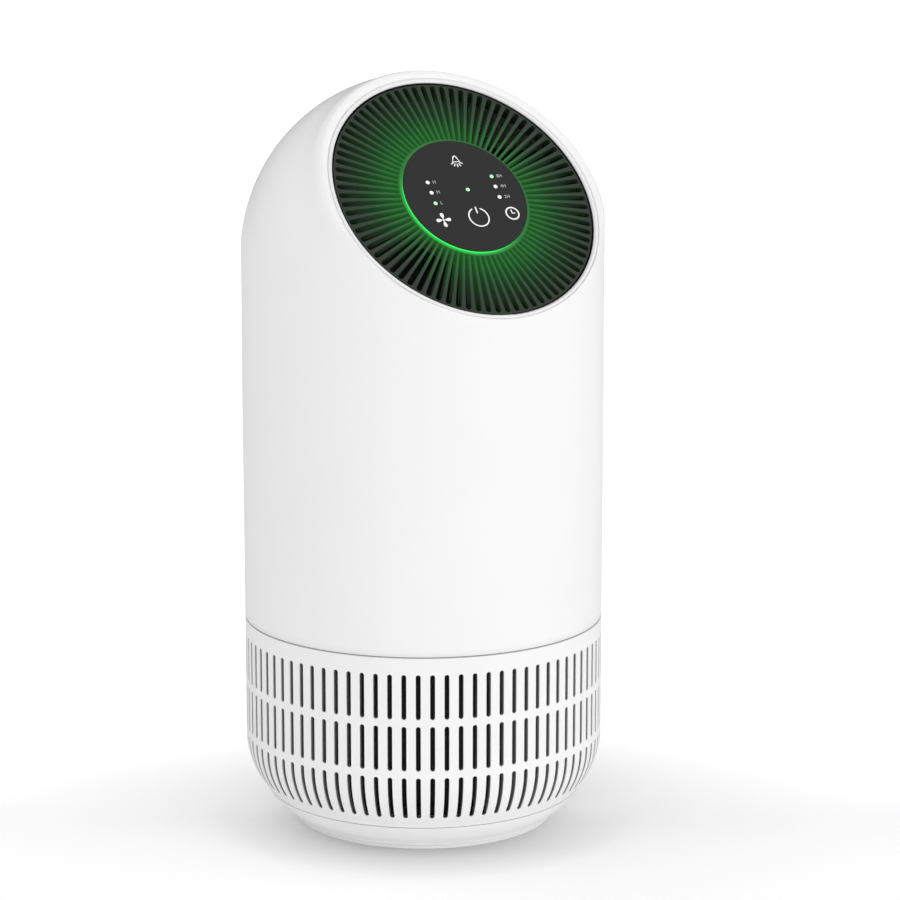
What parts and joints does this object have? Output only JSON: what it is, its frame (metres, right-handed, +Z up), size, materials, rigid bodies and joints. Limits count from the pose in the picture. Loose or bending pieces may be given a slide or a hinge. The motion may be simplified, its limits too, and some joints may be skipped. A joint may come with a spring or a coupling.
{
  "type": "air purifier",
  "caption": "Upright capsule air purifier: slotted lower shell, ring filter, centrifugal fan, slanted round outlet grille with touch panel, twist-off base.",
  "frame": {"origin": "centre of the foot ring on the floor", "axes": "+Z up along the body, -Y towards the side the slanted outlet faces"},
  "size_m": [0.164, 0.164, 0.3431],
  "materials": {
    "shell_white": "satin moulded ABS",
    "trim_white": "glossy moulded ABS",
    "foot_white": "matte light grey TPE",
    "grille_black": "satin black ABS",
    "panel_black": "satin dark touch window",
    "light_green": "frosted light guide, lit green",
    "led": "clear LED bodies",
    "board_green": "circuit board",
    "chip_black": "moulded components",
    "foam_grey": "closed cell foam",
    "inner_white": "unpainted moulding",
    "fan_grey": "dark grey moulded fan",
    "steel": "plated steel",
    "brass": "plain brass",
    "copper_coil": "lacquered winding and core",
    "rubber_black": "soft rubber",
    "filter_paper": "pleated glass fibre paper",
    "carbon": "carbon granules between nets",
    "mesh_white": "fine nylon pre-filter net",
    "cap_white": "filter end cap"
  },
  "bodies": {
    "base": {"base_cover": "shell_white", "foot_ring": "foot_white"},
    "filter": {"filter_media": "filter_paper", "filter_carbon": "carbon", "filter_mesh": "mesh_white", "filter_bottom_cap": "cap_white", "filter_top_cap": "cap_white", "filter_seal": "foam_grey"},
    "impeller": {"impeller": "fan_grey", "impeller_nut": "brass", "motor_shaft": "steel", "motor_rotor": "steel"},
    "housing": {"main_shell": "shell_white", "trim_ring": "trim_white", "intake_grille": "shell_white", "outlet_grille": "grille_black", "light_guide_ring": "light_green", "control_panel": "panel_black", "touch_board": "board_green", "indicator_leds": "led", "ring_leds": "led", "touch_pads": "foam_grey", "control_cup": "grille_black", "cup_screws": "steel", "air_duct": "inner_white", "fan_plate": "inner_white", "finger_guard": "inner_white", "case_screws": "steel", "motor_bearings": "steel", "motor_stator": "copper_coil", "motor_can": "steel", "motor_end_cap": "steel", "motor_mount": "inner_white", "motor_dampers": "rubber_black", "motor_screws": "steel", "mount_screws": "steel", "main_board": "board_green", "board_components": "chip_black", "board_posts": "inner_white", "board_screws": "steel", "dc_jack": "rubber_black", "jack_nut": "steel"}
  },
  "joints": [
    {"name": "base_twist", "type": "hinge", "parent": "base", "child": "filter", "pos_m": [0, 0, 0], "axis": [0, 0, -1], "range_deg": [0, 24]},
    {"name": "housing_lift", "type": "slide", "parent": "filter", "child": "housing", "axis": [0, 0, 1], "range_m": [0, 0.1]},
    {"name": "impeller_spin", "type": "hinge", "parent": "housing", "child": "impeller", "pos_m": [0, 0, 0.12], "axis": [0, 0, 1], "continuous": true}
  ]
}
